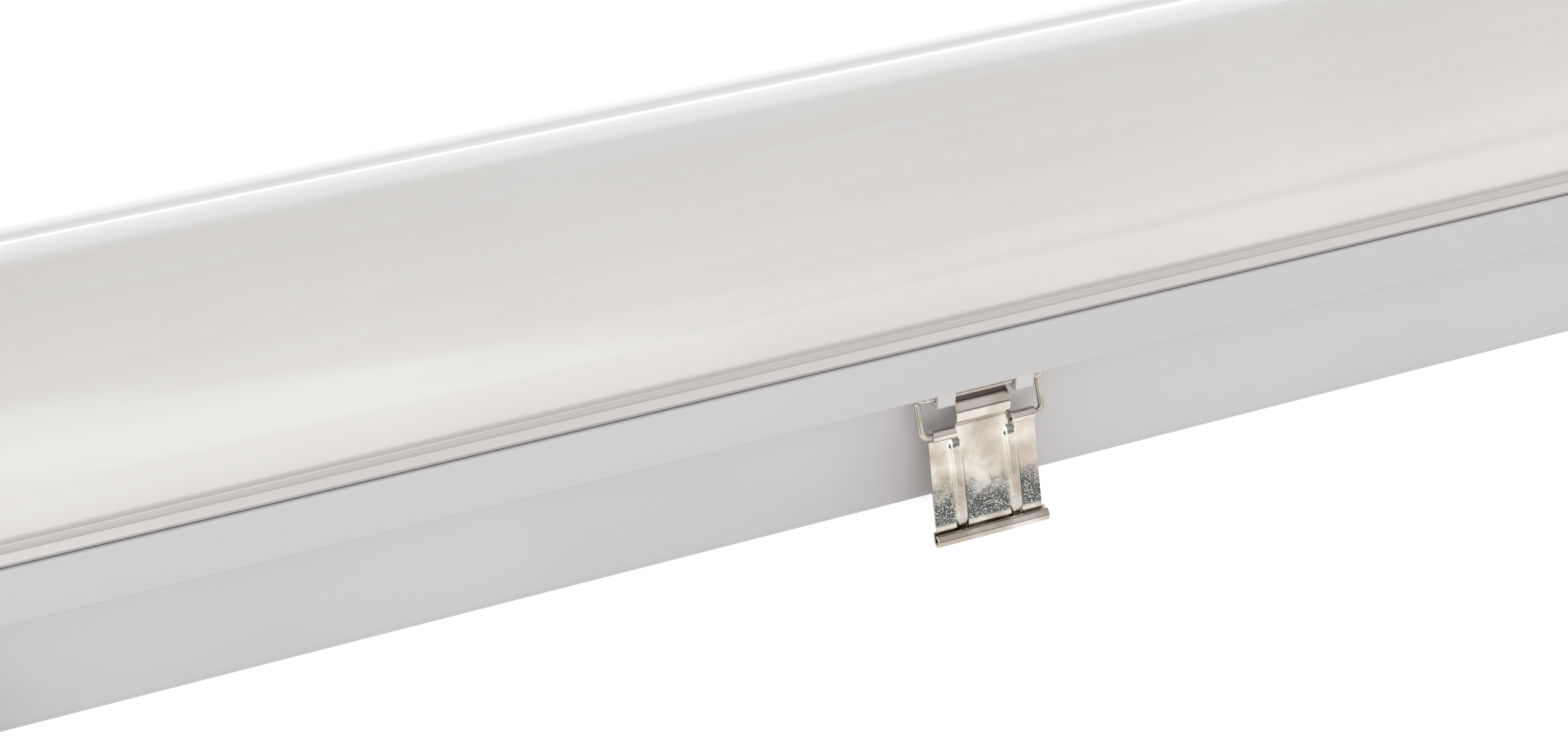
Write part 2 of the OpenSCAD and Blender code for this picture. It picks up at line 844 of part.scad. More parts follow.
module tray_grommet() {
  color("black")
    translate([grommet_x, feed_y, tray_z - grommet_t])
      difference() {
        union() {
          cylinder(d = grommet_w - 2 * screw_play, h = tray_sheet + 2 * grommet_t, $fn = small_fn);
          for (z = [0, grommet_t + tray_sheet])
            translate([0, 0, z]) cylinder(d = grommet_w + 2 * grommet_lip, h = grommet_t, $fn = small_fn);
        }
        translate([0, 0, -over])
          cylinder(d = grommet_w - 2 * grommet_wall, h = tray_sheet + 2 * grommet_t + 2 * over, $fn = small_fn);
      }
}

module board_connector() {
  color("white")
    translate([grommet_x - plug_l / 2, board_w / 2 - plug_in, board_top]) cube([plug_l, plug_w, plug_h]);
}

// Cable entry

module hex_prism(across_flats, t) {
  rotate([0, quarter, 0]) cylinder(d = across_flats / cos(half_turn / 6), h = t, $fn = 6);
}

module at_entry() {
  translate([entry_seat, 0, entry_z]) children();
}

module gland_body() {
  tail = entry_seat - entry_back + nut_t + tail_end;
  color("gray")
    at_entry()
      difference() {
        union() {
          translate([-tail, 0, 0]) rod_x(entry_d - 2 * entry_play, tail);
          hex_prism(hex_across, hex_t);
        }
        translate([-tail - over, 0, 0]) rod_x(cable_d + 2 * seal_wall, tail + hex_t + 2 * over);
      }
}

module gland_seal() {
  color("black")
    at_entry()
      difference() {
        rod_x(cable_d + 2 * seal_wall - 2 * seal_play, hex_t + seal_proud);
        translate([-over, 0, 0]) rod_x(cable_d, hex_t + seal_proud + 2 * over);
      }
}

module gland_cap() {
  color("gray")
    at_entry()
      translate([hex_t, 0, 0])
        difference() {
          union() {
            rod_x(dome_nut_d, dome_nut_l - dome_nut_round);
            rod_x(dome_nut_d - 2 * dome_nut_round, dome_nut_l);
            translate([dome_nut_l - dome_nut_round, 0, 0])
              rotate([0, quarter, 0])
                rotate_extrude()
                  translate([dome_nut_d / 2 - dome_nut_round, 0]) circle(r = dome_nut_round, $fn = small_fn);
            for (i = [0 : ridges - 1])
              rotate([i * 2 * half_turn / ridges, 0, 0])
                translate([0, 0, dome_nut_d / 2]) rod_x(ridge_d, dome_nut_l - dome_nut_round, $fn = small_fn);
          }
          translate([-over, 0, 0]) rod_x(cable_d, dome_nut_l + 2 * over);
          translate([-over, 0, 0]) rod_x(cable_d + 2 * seal_wall, seal_proud + seal_play + over);
        }
}

module locknut(across_flats) {
  translate([entry_back - entry_seat - nut_t, 0, 0])
    difference() {
      hex_prism(across_flats, nut_t);
      translate([-over, 0, 0]) rod_x(entry_d, nut_t + 2 * over);
    }
}

module gland_locknut() {
  color("gray") at_entry() locknut(nut_across);
}

module at_plug() {
  rotate([0, 0, half_turn]) at_entry() children();
}

module blanking_plug() {
  tail = entry_seat - entry_back + nut_t + tail_end;
  color("gray")
    at_plug()
      difference() {
        union() {
          translate([-tail, 0, 0]) rod_x(entry_d - 2 * entry_play, tail + ring_t);
          translate([ring_t, 0, 0]) rod_x(plug_head_d, plug_head_t);
        }
        translate([-tail - over, 0, 0]) rod_x(entry_d - 2 * entry_play - 2 * gland_wall, tail + over);
        translate([ring_t + plug_head_t - slot_depth, -plug_slot_l / 2, -plug_slot_w / 2])
          cube([slot_depth + over, plug_slot_l, plug_slot_w]);
      }
}

module plug_ring() {
  color("black")
    at_plug()
      difference() {
        rod_x(ring_d, ring_t);
        translate([-over, 0, 0]) rod_x(entry_d, ring_t + 2 * over);
      }
}

module plug_locknut() {
  color("gray") at_plug() locknut(nut_across);
}

base_housing();
gasket();
diffuser();
gear_tray();
tray_screws();
led_board(-1);  // led_board_left
led_board(1);  // led_board_right
led_packages();
board_rivets();
board_connector();
led_driver();
driver_screws();
terminal_block();
terminal_screws();
earth_screw();
earth_tag();
supply_leads();
board_leads();
tray_grommet();
gland_body();
gland_seal();
gland_cap();
gland_locknut();
blanking_plug();
plug_ring();
plug_locknut();
at_latch(false, -1) bail();  // bail_front_left
at_latch(false, 0) bail();  // bail_front_middle
at_latch(false, 1) bail();  // bail_front_right
at_latch(true, -1) bail();  // bail_rear_left
at_latch(true, 0) bail();  // bail_rear_middle
at_latch(true, 1) bail();  // bail_rear_right
at_latch(false, -1) lever();  // lever_front_left
at_latch(false, 0) lever();  // lever_front_middle
at_latch(false, 1) lever();  // lever_front_right
at_latch(true, -1) lever();  // lever_rear_left
at_latch(true, 0) lever();  // lever_rear_middle
at_latch(true, 1) lever();  // lever_rear_right
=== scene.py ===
"""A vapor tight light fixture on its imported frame: ribbed diffuser, satin housing and stainless latches."""

import json
import math

import bmesh
import bpy
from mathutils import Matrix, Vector


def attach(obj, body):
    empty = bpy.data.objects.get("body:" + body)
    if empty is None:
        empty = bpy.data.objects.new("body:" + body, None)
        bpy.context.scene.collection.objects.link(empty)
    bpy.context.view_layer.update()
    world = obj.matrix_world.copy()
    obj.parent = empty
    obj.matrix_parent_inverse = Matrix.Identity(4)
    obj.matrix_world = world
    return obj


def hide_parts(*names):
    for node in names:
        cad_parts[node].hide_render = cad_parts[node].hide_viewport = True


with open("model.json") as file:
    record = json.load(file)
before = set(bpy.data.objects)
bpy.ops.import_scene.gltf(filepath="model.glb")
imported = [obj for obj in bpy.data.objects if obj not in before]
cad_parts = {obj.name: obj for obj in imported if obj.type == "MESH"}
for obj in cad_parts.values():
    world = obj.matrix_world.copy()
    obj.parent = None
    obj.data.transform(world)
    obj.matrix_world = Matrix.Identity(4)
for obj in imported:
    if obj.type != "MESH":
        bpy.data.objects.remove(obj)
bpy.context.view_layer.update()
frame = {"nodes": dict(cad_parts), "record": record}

MM = 0.001

# Sizes of the part's source, in millimetres and degrees
BODY_L, BODY_W, RIM_R = 660.0, 104.0, 30.0
DOME_SETBACK, LENS_WALL = 5.6, 2.0
SHOULDER_Z, DOME_H, HAUNCH_R = 58.4, 33.2, 24.0
FLANGE_LOW, FLANGE_EDGE, FLANGE_TOP = 51.8, 0.35, 53.3
FLANGE_OUT, MARGIN_W = 5.0, 2.2
SEAL_RIB_LOW, SEAL_RIB_OUT, SEAL_RIB_IN = 44.2, 4.0, 5.8
LATCH_PITCH, HINGE_Y, HINGE_Z = 248.0, 50.25, 36.5
BAIL_L, BAIL_LEAN, LEVER_LEAN = 9.8, 4.5, 15.5
SHEET, PIN_R, PLATE_W, PLATE_L, SLIT_DROP = 0.7, 1.16, 27.0, 25.5, 1.6
KNUCKLE_IN, KNUCKLE_OUT, KNUCKLE_TURN, TONGUE_W = 7.2, 13.0, 297.0, 13.6
BULGE_R, BULGE, CURL_R, CURL_END, TIP, TIP_CORNER = 2.0, 55.0, 3.4, 80.0, 0.4, 1.6
BEAD_X = 7.0
ROLL_R, ROLL_TURN, ROLL_OVER, ROLL_SKIRT = 1.5, 266.0, 0.75, 2.2

# Fine shapes that only this script has, in millimetres, with heights counted from the knuckle line
TOP_SLOPE, FOOT_SLOPE = 0.026, 0.026
BEAD_START, BEAD_STOP, BEAD_FADE, BEAD_HURRY = -4.0, -21.4, 3.4, 1.3
BEAD_SHALLOW, BEAD_RISE, BEAD_RISES_FROM, BEAD_RISES_OVER = 0.30, 0.54, -3.0, 11.0
BEAD_CREST, BEAD_SIDE, BEAD_TAPER = 0.8, 1.15, 0.18
SKIRT_FOLD = 0.4
LIP_ROUND, RIB_ROUND, FOOT_ROUND = 0.08, 0.2, 0.5

# How finely the meshes are cut
HAUNCH_CUTS, CROWN_CUTS, FOOT_CUTS = 10, 22, 5
LONG_CUTS, SHORT_CUTS, CORNER_CUTS = 44, 10, 12
PLATE_CUTS, ROLL_CUTS, KNUCKLE_CUTS, BULGE_CUTS, CURL_CUTS = 54, 26, 26, 9, 24
SHARP_ANGLE = 40

# Where the finishes change and where shade, a shadow line and a dark reflection are painted, in millimetres:
# heights in the object's frame, and distances from a bead
RIM_SHADE_BAND = 37.9, 38.2
EDGE_SHADOW_BAND, FLANGE_BAND = (52.22, 52.34), (53.35, 53.75)
FOOT_SHADE_LOW_BAND, FOOT_SHADE_HIGH_BAND = (53.5, 53.9), (54.4, 55.9)
DARK_REFLECTION_BAND, ROLL_BAND, BEAD_BAND = (9.0, 16.0), (4.4, 5.4), (1.2, 2.1)
RIB_PITCH, UV_PER_METRE = 1.7, 10


# Finishes


class Link:
    """A socket that carries a value, so that sums on it are written as plain expressions."""

    def __init__(self, finish, socket):
        self.finish, self.socket = finish, socket

    def maths(self, operation, *values):
        node = self.finish.add("ShaderNodeMath", {"operation": operation}, dict(enumerate(values)))
        return Link(self.finish, node.outputs[0])

    def __add__(self, other):
        return self.maths("ADD", self, other)

    def __radd__(self, other):
        return self.maths("ADD", other, self)

    def __sub__(self, other):
        return self.maths("SUBTRACT", self, other)

    def __rsub__(self, other):
        return self.maths("SUBTRACT", other, self)

    def __mul__(self, other):
        return self.maths("MULTIPLY", self, other)

    def __rmul__(self, other):
        return self.maths("MULTIPLY", other, self)

    def __abs__(self):
        return self.maths("ABSOLUTE", self)

    def sine(self):
        return self.maths("SINE", self)

    def larger(self, other):
        return self.maths("MAXIMUM", self, other)

    def folded(self, length):
        """Runs from 0 to length and back again, over and over."""
        return self.maths("PINGPONG", self, length)

    def between(self, low, high):
        """0 below low, 1 above high, and a smooth step from one to the other."""
        node = self.finish.add(
            "ShaderNodeMapRange", {"interpolation_type": "SMOOTHSTEP"},
            {"Value": self, "From Min": low, "From Max": high, "To Min": 0.0, "To Max": 1.0})
        return Link(self.finish, node.outputs["Result"])

    def between_mm(self, low, high):
        return self.between(low * MM, high * MM)

    def spread(self, low, high):
        """Takes a value from 0 to 1 to one from low to high."""
        return low + (high - low) * self


class Finish:
    """One material and the nodes that make it."""

    def __init__(self, name):
        self.material = bpy.data.materials.new(name)
        self.material.use_nodes = True
        self.nodes = self.material.node_tree.nodes
        self.links = self.material.node_tree.links
        self.nodes.clear()

    def add(self, kind, settings=None, sockets=None):
        node = self.nodes.new(kind)
        for key, value in (settings or {}).items():
            setattr(node, key, value)
        for key, value in (sockets or {}).items():
            if isinstance(value, Link):
                self.links.new(value.socket, node.inputs[key])
            else:
                node.inputs[key].default_value = value
        return node

    def place(self, kind="Object"):
        """The point on the object, in metres and in the object's own frame, or on its UV map."""
        return Link(self, self.add("ShaderNodeTexCoord").outputs[kind])

    def axis_of(self, vector, axis):
        return Link(self, self.add("ShaderNodeSeparateXYZ", None, {0: vector}).outputs[axis])

    def along(self, axis):
        return self.axis_of(self.place(), axis)

    def vector(self, operation, first, second=None):
        sockets = {0: first}
        if second is not None:
            sockets["Scale" if operation == "SCALE" else 1] = second
        node = self.add("ShaderNodeVectorMath", {"operation": operation}, sockets)
        return Link(self, node.outputs[0])

    def stretched(self, x, y, z):
        """The point, with each direction multiplied, for a pattern drawn out along the object."""
        return self.vector("MULTIPLY", self.place(), (x, y, z))

    def noise(self, size_mm, detail=3.0, rough=0.5, at=None):
        """Cloudy noise from 0 to 1 whose spots are about size_mm across."""
        node = self.add("ShaderNodeTexNoise", {"noise_dimensions": "3D"},
                        {"Vector": at or self.place(), "Scale": 1.0 / (size_mm * MM), "Detail": detail,
                         "Roughness": rough})
        return Link(self, node.outputs["Fac"])

    def grains(self, size_mm, output="Distance"):
        """Cells about size_mm across: the distance from each one's middle, or a colour of its own."""
        node = self.add("ShaderNodeTexVoronoi", {"feature": "F1", "voronoi_dimensions": "3D"},
                        {"Vector": self.place(), "Scale": 1.0 / (size_mm * MM)})
        return Link(self, node.outputs[output])

    def tint(self, amount, first, second):
        node = self.add("ShaderNodeMix", {"data_type": "RGBA"},
                        {0: amount, 6: self.colour(first), 7: self.colour(second)})
        return Link(self, node.outputs[2])

    def colour(self, value):
        return value if isinstance(value, Link) else (*value, 1.0)

    def rounded(self, radius_mm):
        node = self.add("ShaderNodeBevel", {"samples": 6}, {"Radius": radius_mm * MM})
        return Link(self, node.outputs["Normal"])

    def tilted(self, normal, lot, amount):
        """The normal, leaned a little another way for each colour of lot."""
        off = self.vector("SCALE", self.vector("SUBTRACT", lot, (0.5, 0.5, 0.5)), amount)
        return self.vector("NORMALIZE", self.vector("ADD", normal, off))

    def bump(self, height, depth_mm, strength=1.0, onto=None):
        sockets = {"Height": height, "Distance": depth_mm * MM, "Strength": strength}
        if onto is not None:
            sockets["Normal"] = onto
        return Link(self, self.add("ShaderNodeBump", None, sockets).outputs["Normal"])

    def shade(self, colour, roughness, normal, **uniform):
        """The surface itself. What varies comes in as links, and the rest is set on the shader."""
        sockets = {"Base Color": self.colour(colour), "Roughness": roughness, "Normal": normal}
        sockets.update({key.replace("_", " "): value for key, value in uniform.items()})
        return self.surface(self.add("ShaderNodeBsdfPrincipled", None, sockets))

    def surface(self, shader):
        out = self.add("ShaderNodeOutputMaterial")
        self.links.new(shader.outputs[0], out.inputs["Surface"])
        return self.material


def satin_housing():
    f = Finish("satin_housing")
    cloud = f.noise(60, 2.0)
    skin = f.noise(0.35, 2.0)
    dust = f.noise(3.5, 4.0, 0.6).between(0.62, 0.80)
    colour = f.tint(cloud.between(0.35, 0.65), (0.622, 0.612, 0.618), (0.645, 0.636, 0.641))
    # Painted shade: the rim skirt above the tub is a little darker than the tub
    colour = f.tint(f.along(2).between_mm(*RIM_SHADE_BAND), colour, (0.600, 0.588, 0.595))
    colour = f.tint(dust * 0.2, colour, (0.56, 0.55, 0.56))
    return f.shade(colour, cloud.spread(0.34, 0.44) + 0.06 * dust,
                   f.bump(skin, 0.012, 0.5, f.rounded(0.45)), Specular_IOR_Level=0.42)


def frosted_diffuser():
    """Pale translucent plastic, with fine ribs inside, a darker, pinker flange, painted shade on its foot and
    a painted shadow line along the flange's edge.
    """
    f = Finish("frosted_diffuser")
    turn = f.axis_of(f.place("UV"), 1) * (2 * math.pi / (RIB_PITCH * MM * UV_PER_METRE))
    ribs = turn.sine().spread(0.5, 1.0)
    streak = f.noise(5, 3.0, 0.6, at=f.stretched(0.03, 1.0, 1.0))
    cloud = f.noise(90, 2.0)
    colour = f.tint(cloud.between(0.3, 0.7), (0.715, 0.697, 0.674), (0.745, 0.730, 0.708))
    colour = f.tint(streak.between(0.35, 0.75) * 0.35, colour, (0.80, 0.80, 0.795))
    height = f.along(2)
    # Painted shade: a darker strip on the foot of the dome, just above the flange
    foot = height.between_mm(*FOOT_SHADE_LOW_BAND) * (1.0 - height.between_mm(*FOOT_SHADE_HIGH_BAND))
    flange = 1.0 - height.between_mm(*FLANGE_BAND)
    # Painted shadow: everything below the flange's top edge is darkened, which shows as a dark line along its
    # outer edge over the gap to the rim
    edge = 1.0 - height.between_mm(*EDGE_SHADOW_BAND)
    colour = f.tint(foot * 0.75, colour, (0.52, 0.50, 0.485))
    colour = f.tint(flange * 0.9, colour, (0.69, 0.655, 0.645))
    colour = f.tint(edge * 0.8, colour, (0.30, 0.29, 0.295))
    return f.shade(colour, streak.spread(0.20, 0.30), f.bump(ribs * 0.25 + 0.35 * streak, 0.05, 0.5),
                   Coat_Weight=0.55, Coat_Roughness=0.09, Specular_IOR_Level=0.5,
                   Subsurface_Weight=0.25, Subsurface_Radius=(0.004, 0.004, 0.0035), Subsurface_Scale=1.0)


def stainless_sheet():
    """Bright rolled sheet: smooth and warm at the top; lower down, a painted dark reflection with a sparkling
    grain, fainter on the beads and left off the rolled edge.
    """
    f = Finish("stainless_sheet")
    grain = f.grains(0.21, "Color")
    sparkle = f.axis_of(grain, 0)
    cloud = f.noise(8, 3.0)
    wave = f.noise(3.5, 2.0)
    ragged = f.along(2) + (f.noise(4, 4.0, 0.65) - 0.5) * (11.0 * MM)
    from_bead = abs(f.along(0).folded(LATCH_PITCH / 2 * MM) - BEAD_X * MM)
    # Painted dark reflection on the lower plate, with a ragged top line; it also drives the grain's roughness
    # and tilted facets
    grain_and_dark_reflection = (1.0 - ragged.between_mm(*DARK_REFLECTION_BAND)) * f.along(2).between_mm(*ROLL_BAND)
    grain_and_dark_reflection = grain_and_dark_reflection * from_bead.between_mm(*BEAD_BAND).spread(0.25, 1.0)
    colour = f.tint(cloud.between(0.35, 0.65), (0.48, 0.42, 0.355), (0.69, 0.645, 0.585))
    # The painted dark reflection: mostly near black, with light grains
    speckled_dark_reflection = f.tint(sparkle.between(0.66, 0.95), (0.105, 0.11, 0.105), (0.68, 0.67, 0.64))
    colour = f.tint(grain_and_dark_reflection, colour, speckled_dark_reflection)
    leaned = f.tilted(f.rounded(0.14), grain, grain_and_dark_reflection * 0.20)
    return f.shade(colour, grain_and_dark_reflection.spread(0.12, 0.19) + 0.07 * sparkle,
                   f.bump(wave, 0.033, 0.5, leaned), Metallic=1.0)


def stainless_wire():
    f = Finish("stainless_wire")
    draw = f.noise(0.25, 3.0)
    cloud = f.noise(4, 2.0)
    colour = f.tint(cloud.between(0.35, 0.65), (0.44, 0.395, 0.345), (0.53, 0.49, 0.44))
    return f.shade(colour, draw.spread(0.24, 0.34), f.bump(draw, 0.003, 0.4), Metallic=1.0)


def plastic(name, low, high, rough, skin_mm=0.4, corner_mm=0.3):
    f = Finish(name)
    cloud = f.noise(25, 3.0)
    skin = f.noise(skin_mm, 2.0)
    colour = f.tint(cloud.between(0.3, 0.7), low, high)
    return f.shade(colour, cloud.spread(*rough), f.bump(skin, 0.012, 0.5, f.rounded(corner_mm)))


def sheet_paint():
    f = Finish("white_sheet_paint")
    cloud = f.noise(40, 3.0)
    peel = f.noise(0.9, 2.0)
    colour = f.tint(cloud.between(0.3, 0.7), (0.80, 0.80, 0.79), (0.84, 0.84, 0.83))
    return f.shade(colour, cloud.spread(0.30, 0.42), f.bump(peel, 0.03, 0.4, f.rounded(0.2)))


def foam_rubber():
    f = Finish("foam_rubber")
    cells = f.grains(0.7)
    cloud = f.noise(20, 2.0)
    colour = f.tint(cells.between(0.1, 0.6), (0.10, 0.10, 0.105), (0.17, 0.17, 0.175))
    return f.shade(colour, cloud.spread(0.75, 0.9), f.bump(cells, 0.08, 0.7))


def bare_metal(name, spot_mm, low_at, low, high, rough, corner_mm):
    f = Finish(name)
    cloud = f.noise(spot_mm, 3.0)
    fine = f.noise(0.2, 2.0)
    colour = f.tint(cloud.between(low_at, 1.0 - low_at), low, high)
    return f.shade(colour, fine.spread(*rough), f.bump(fine, 0.01, 0.5, f.rounded(corner_mm)), Metallic=1.0)


finishes = {
    "housing_plastic": satin_housing(),
    "frosted_plastic": frosted_diffuser(),
    "gasket_foam": foam_rubber(),
    "white_steel": sheet_paint(),
    "board_white": plastic("board_resist", (0.80, 0.80, 0.78), (0.84, 0.84, 0.82), (0.28, 0.40), 0.5, 0.1),
    "led_yellow": plastic("phosphor_gel", (0.80, 0.62, 0.16), (0.88, 0.72, 0.26), (0.25, 0.35), 0.2, 0.1),
    "white_plastic": plastic("moulded_white", (0.70, 0.70, 0.68), (0.76, 0.76, 0.74), (0.35, 0.5)),
    "gland_plastic": plastic("moulded_grey", (0.34, 0.345, 0.355), (0.38, 0.385, 0.395), (0.40, 0.52),
                             corner_mm=0.4),
    "black_rubber": plastic("black_rubber", (0.018, 0.018, 0.018), (0.03, 0.03, 0.03), (0.6, 0.75), 0.3, 0.2),
    "zinc_steel": bare_metal("zinc_plate", 2.5, 0.35, (0.60, 0.61, 0.62), (0.70, 0.71, 0.72),
                             (0.22, 0.36), 0.15),
    "brass_tag": bare_metal("brass_tab", 2.0, 0.3, (0.70, 0.50, 0.20), (0.80, 0.62, 0.30), (0.25, 0.4), 0.1),
    "supply_sleeve": plastic("brown_sleeve", (0.20, 0.10, 0.05), (0.24, 0.13, 0.07), (0.35, 0.45), 0.3, 0.1),
    "feed_sleeve": plastic("red_sleeve", (0.42, 0.035, 0.03), (0.5, 0.05, 0.04), (0.3, 0.4), 0.3, 0.1),
}
sheet_steel, wire_steel = stainless_sheet(), stainless_wire()


def give(obj, material):
    obj.data.materials.clear()
    obj.data.materials.append(material)


slot_of = {s["node"]: s["material_slot"] for s in frame["record"]["subparts"]}
for name, node in frame["nodes"].items():
    if name.startswith("bail_"):
        give(node, wire_steel)
    elif name.startswith("lever_"):
        give(node, sheet_steel)
    else:
        give(node, finishes[slot_of[name]])


# Meshes


def shown(name, data):
    """Puts a mesh, light or camera in the scene."""
    obj = bpy.data.objects.new(name, data)
    bpy.context.scene.collection.objects.link(obj)
    return obj


def finished(bm, name, merge):
    """Merges the points of a mesh that lie closer than merge, and puts it in the scene."""
    bmesh.ops.remove_doubles(bm, verts=bm.verts, dist=merge)
    bmesh.ops.recalc_face_normals(bm, faces=bm.faces)
    mesh = bpy.data.meshes.new(name)
    bm.to_mesh(mesh)
    bm.free()
    return shown(name, mesh)


def arc(cx, cz, r, start, end, steps):
    turns = [math.radians(start + (end - start) * i / steps) for i in range(steps + 1)]
    return [(cx + r * math.cos(t), cz + r * math.sin(t)) for t in turns]


# The diffuser: one thin moulding, drawn as a profile carried round the housing's plan


def dome_half(inset):
    """Half of the dome's section from its shoulder to its crest, as (distance from the middle, height)."""
    half = BODY_W / 2 - DOME_SETBACK
    haunch_x = half - HAUNCH_R
    crown_r = (haunch_x ** 2 + DOME_H ** 2 - HAUNCH_R ** 2) / (2 * (DOME_H - HAUNCH_R))
    crown_z = SHOULDER_Z + DOME_H - crown_r
    meet = math.degrees(math.atan2(SHOULDER_Z - crown_z, haunch_x))
    haunch = arc(haunch_x, SHOULDER_Z, HAUNCH_R - inset, 0, meet, HAUNCH_CUTS)
    crown = arc(0, crown_z, crown_r - inset, meet, 90, CROWN_CUTS)
    return haunch + crown[1:]


def diffuser_profile():
    """The whole wall from the inner crest, down and round the flange, to the outer crest."""
    half = BODY_W / 2 - DOME_SETBACK
    foot_in = half - LENS_WALL
    edge = half + FLANGE_OUT
    edge_top = FLANGE_LOW + FLANGE_EDGE
    ridge = edge - MARGIN_W
    rib_out, rib_in = BODY_W / 2 - SEAL_RIB_OUT, BODY_W / 2 - SEAL_RIB_IN
    inner = dome_half(LENS_WALL)[::-1]
    under = [(foot_in, FLANGE_LOW + 0.3), (foot_in + 0.3, FLANGE_LOW), (rib_in, FLANGE_LOW),
             (rib_in, SEAL_RIB_LOW + RIB_ROUND), (rib_in + RIB_ROUND, SEAL_RIB_LOW),
             (rib_out - RIB_ROUND, SEAL_RIB_LOW), (rib_out, SEAL_RIB_LOW + RIB_ROUND),
             (rib_out, FLANGE_LOW)]
    lip = [(edge - LIP_ROUND, FLANGE_LOW), (edge, FLANGE_LOW + LIP_ROUND), (edge, edge_top - LIP_ROUND),
           (edge - 0.1, edge_top + 0.06)]
    # The ridge line along the flange, as distances from it and from the flange's top
    margin = [(ridge + out, FLANGE_TOP + up) for out, up in (
        (0.30, -0.12), (0.16, 0.05), (0.02, 0.14), (-0.14, 0.14), (-0.30, 0.05), (-0.46, -0.06))]
    foot = arc(half + FOOT_ROUND, FLANGE_TOP + FOOT_ROUND, FOOT_ROUND, 270, 180, FOOT_CUTS)
    return inner + under + lip + margin + [(half + FOOT_ROUND, FLANGE_TOP - 0.04)] + foot + dome_half(0)


def plan_ring(half_w):
    """The housing's plan drawn in or out until it is half_w wide each way from the middle."""
    drawn_in = BODY_W / 2 - half_w
    radius = max(RIM_R - drawn_in, 0.0)
    cx, cy = BODY_L / 2 - drawn_in - radius, half_w - radius
    ring = []
    for sx, sy, start in ((1, 1, 0), (-1, 1, 90), (-1, -1, 180), (1, -1, 270)):
        ring.extend(arc(sx * cx, sy * cy, radius, start, start + 90, CORNER_CUTS))
        ex, ey = ring[-1]
        if start in (0, 180):
            cuts, far = LONG_CUTS, (-sx * cx, ey)
        else:
            cuts, far = SHORT_CUTS, (ex, -sy * cy)
        ring.extend((ex + (far[0] - ex) * i / cuts, ey + (far[1] - ey) * i / cuts) for i in range(1, cuts))
    return ring


def round_moulding(name, profile):
    """Carries a profile round the plan. V on its UV map is the length run along the profile."""
    bm = bmesh.new()
    uv = bm.loops.layers.uv.new("strip")
    rows, lengths, run = [], [], 0.0
    for k, (half_w, z) in enumerate(profile):
        if k:
            run += math.dist(profile[k - 1], (half_w, z))
        lengths.append(run)
        rows.append([bm.verts.new((x * MM, y * MM, z * MM)) for x, y in plan_ring(half_w)])
    count = len(rows[0])
    for k in range(len(rows) - 1):
        for i in range(count):
            j = (i + 1) % count
            face = bm.faces.new((rows[k][i], rows[k][j], rows[k + 1][j], rows[k + 1][i]))
            face.smooth = True
            for loop, (u, v) in zip(face.loops, ((i, k), (i + 1, k), (i + 1, k + 1), (i, k + 1))):
                loop[uv].uv = (u / count, lengths[v] * MM * UV_PER_METRE)
    return finished(bm, name, 2e-6)


cover = round_moulding("ribbed_diffuser", diffuser_profile())
give(cover, finishes["frosted_plastic"])
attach(cover, "cover")
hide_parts("diffuser")


# The levers: one sheet each, with pressed beads, two curled knuckles, a tongue and a rolled edge


def clamped(value):
    return min(max(value, 0.0), 1.0)


def hump(t):
    """1 at 0 and 0 at 1, level at both."""
    return 0.5 + 0.5 * math.cos(math.pi * t)


def bead_height(x, z):
    """How far the sheet stands out at a point of the plate."""
    past = max(0.0, BEAD_HURRY * (z - BEAD_START), BEAD_STOP - z)
    depth = BEAD_SHALLOW + BEAD_RISE * clamped((BEAD_RISES_FROM - z) / BEAD_RISES_OVER)
    aside = clamped((abs(abs(x) - BEAD_X) + BEAD_TAPER * past - BEAD_CREST) / BEAD_SIDE)
    return depth * hump(aside) * hump(min(past / BEAD_FADE, 1.0))


def plate_path():
    """The plate's section from the knuckles down, bowed a little between them and its foot."""
    rows, run = [], PLATE_L - SLIT_DROP
    for i in range(PLATE_CUTS + 1):
        s = run * i / PLATE_CUTS
        rows.append((PIN_R + TOP_SLOPE * s - (TOP_SLOPE + FOOT_SLOPE) * s * s / (2 * run), -SLIT_DROP - s))
    return rows


def roll_path(start):
    """The rolled edge, which carries on from the foot of the plate."""
    lean = math.atan(FOOT_SLOPE)
    mid = ROLL_R - SHEET / 2
    cy, cz = start[0] - mid * math.cos(lean), start[1] + mid * math.sin(lean)
    return arc(cy, cz, mid, -math.degrees(lean), -ROLL_TURN, ROLL_CUTS)


def neck_path():
    """The first bit of sheet above the plate, which the knuckles and the tongue both start with."""
    return [(PIN_R, -SLIT_DROP), (PIN_R, -SLIT_DROP / 2)]


def tongue_path():
    bulge = arc(PIN_R - BULGE_R, 0, BULGE_R, 0, BULGE, BULGE_CUTS)
    cy = PIN_R - BULGE_R + (BULGE_R + CURL_R) * math.cos(math.radians(BULGE))
    cz = (BULGE_R + CURL_R) * math.sin(math.radians(BULGE))
    curl = arc(cy, cz, CURL_R, 180 + BULGE, CURL_END, CURL_CUTS)
    turn = math.radians(CURL_END)
    tip = (curl[-1][0] + TIP * math.sin(turn), curl[-1][1] - TIP * math.cos(turn))
    return neck_path() + bulge + curl[1:] + [tip]


def sheet_columns():
    """The sheet's points across its width, close together on both sides of each bead."""
    near = (0.2, 0.5, 0.75, 0.95, 1.15, 1.35, 1.55, 1.75, 1.95, 2.15)
    right = {0.0, 1.2, 2.4, 3.6, BEAD_X, 10.2, 11.2, 12.2, KNUCKLE_OUT, PLATE_W / 2}
    right |= {BEAD_X + side * step for side in (-1, 1) for step in near}
    return sorted({round(side * x, 3) for x in right for side in (-1, 1)})


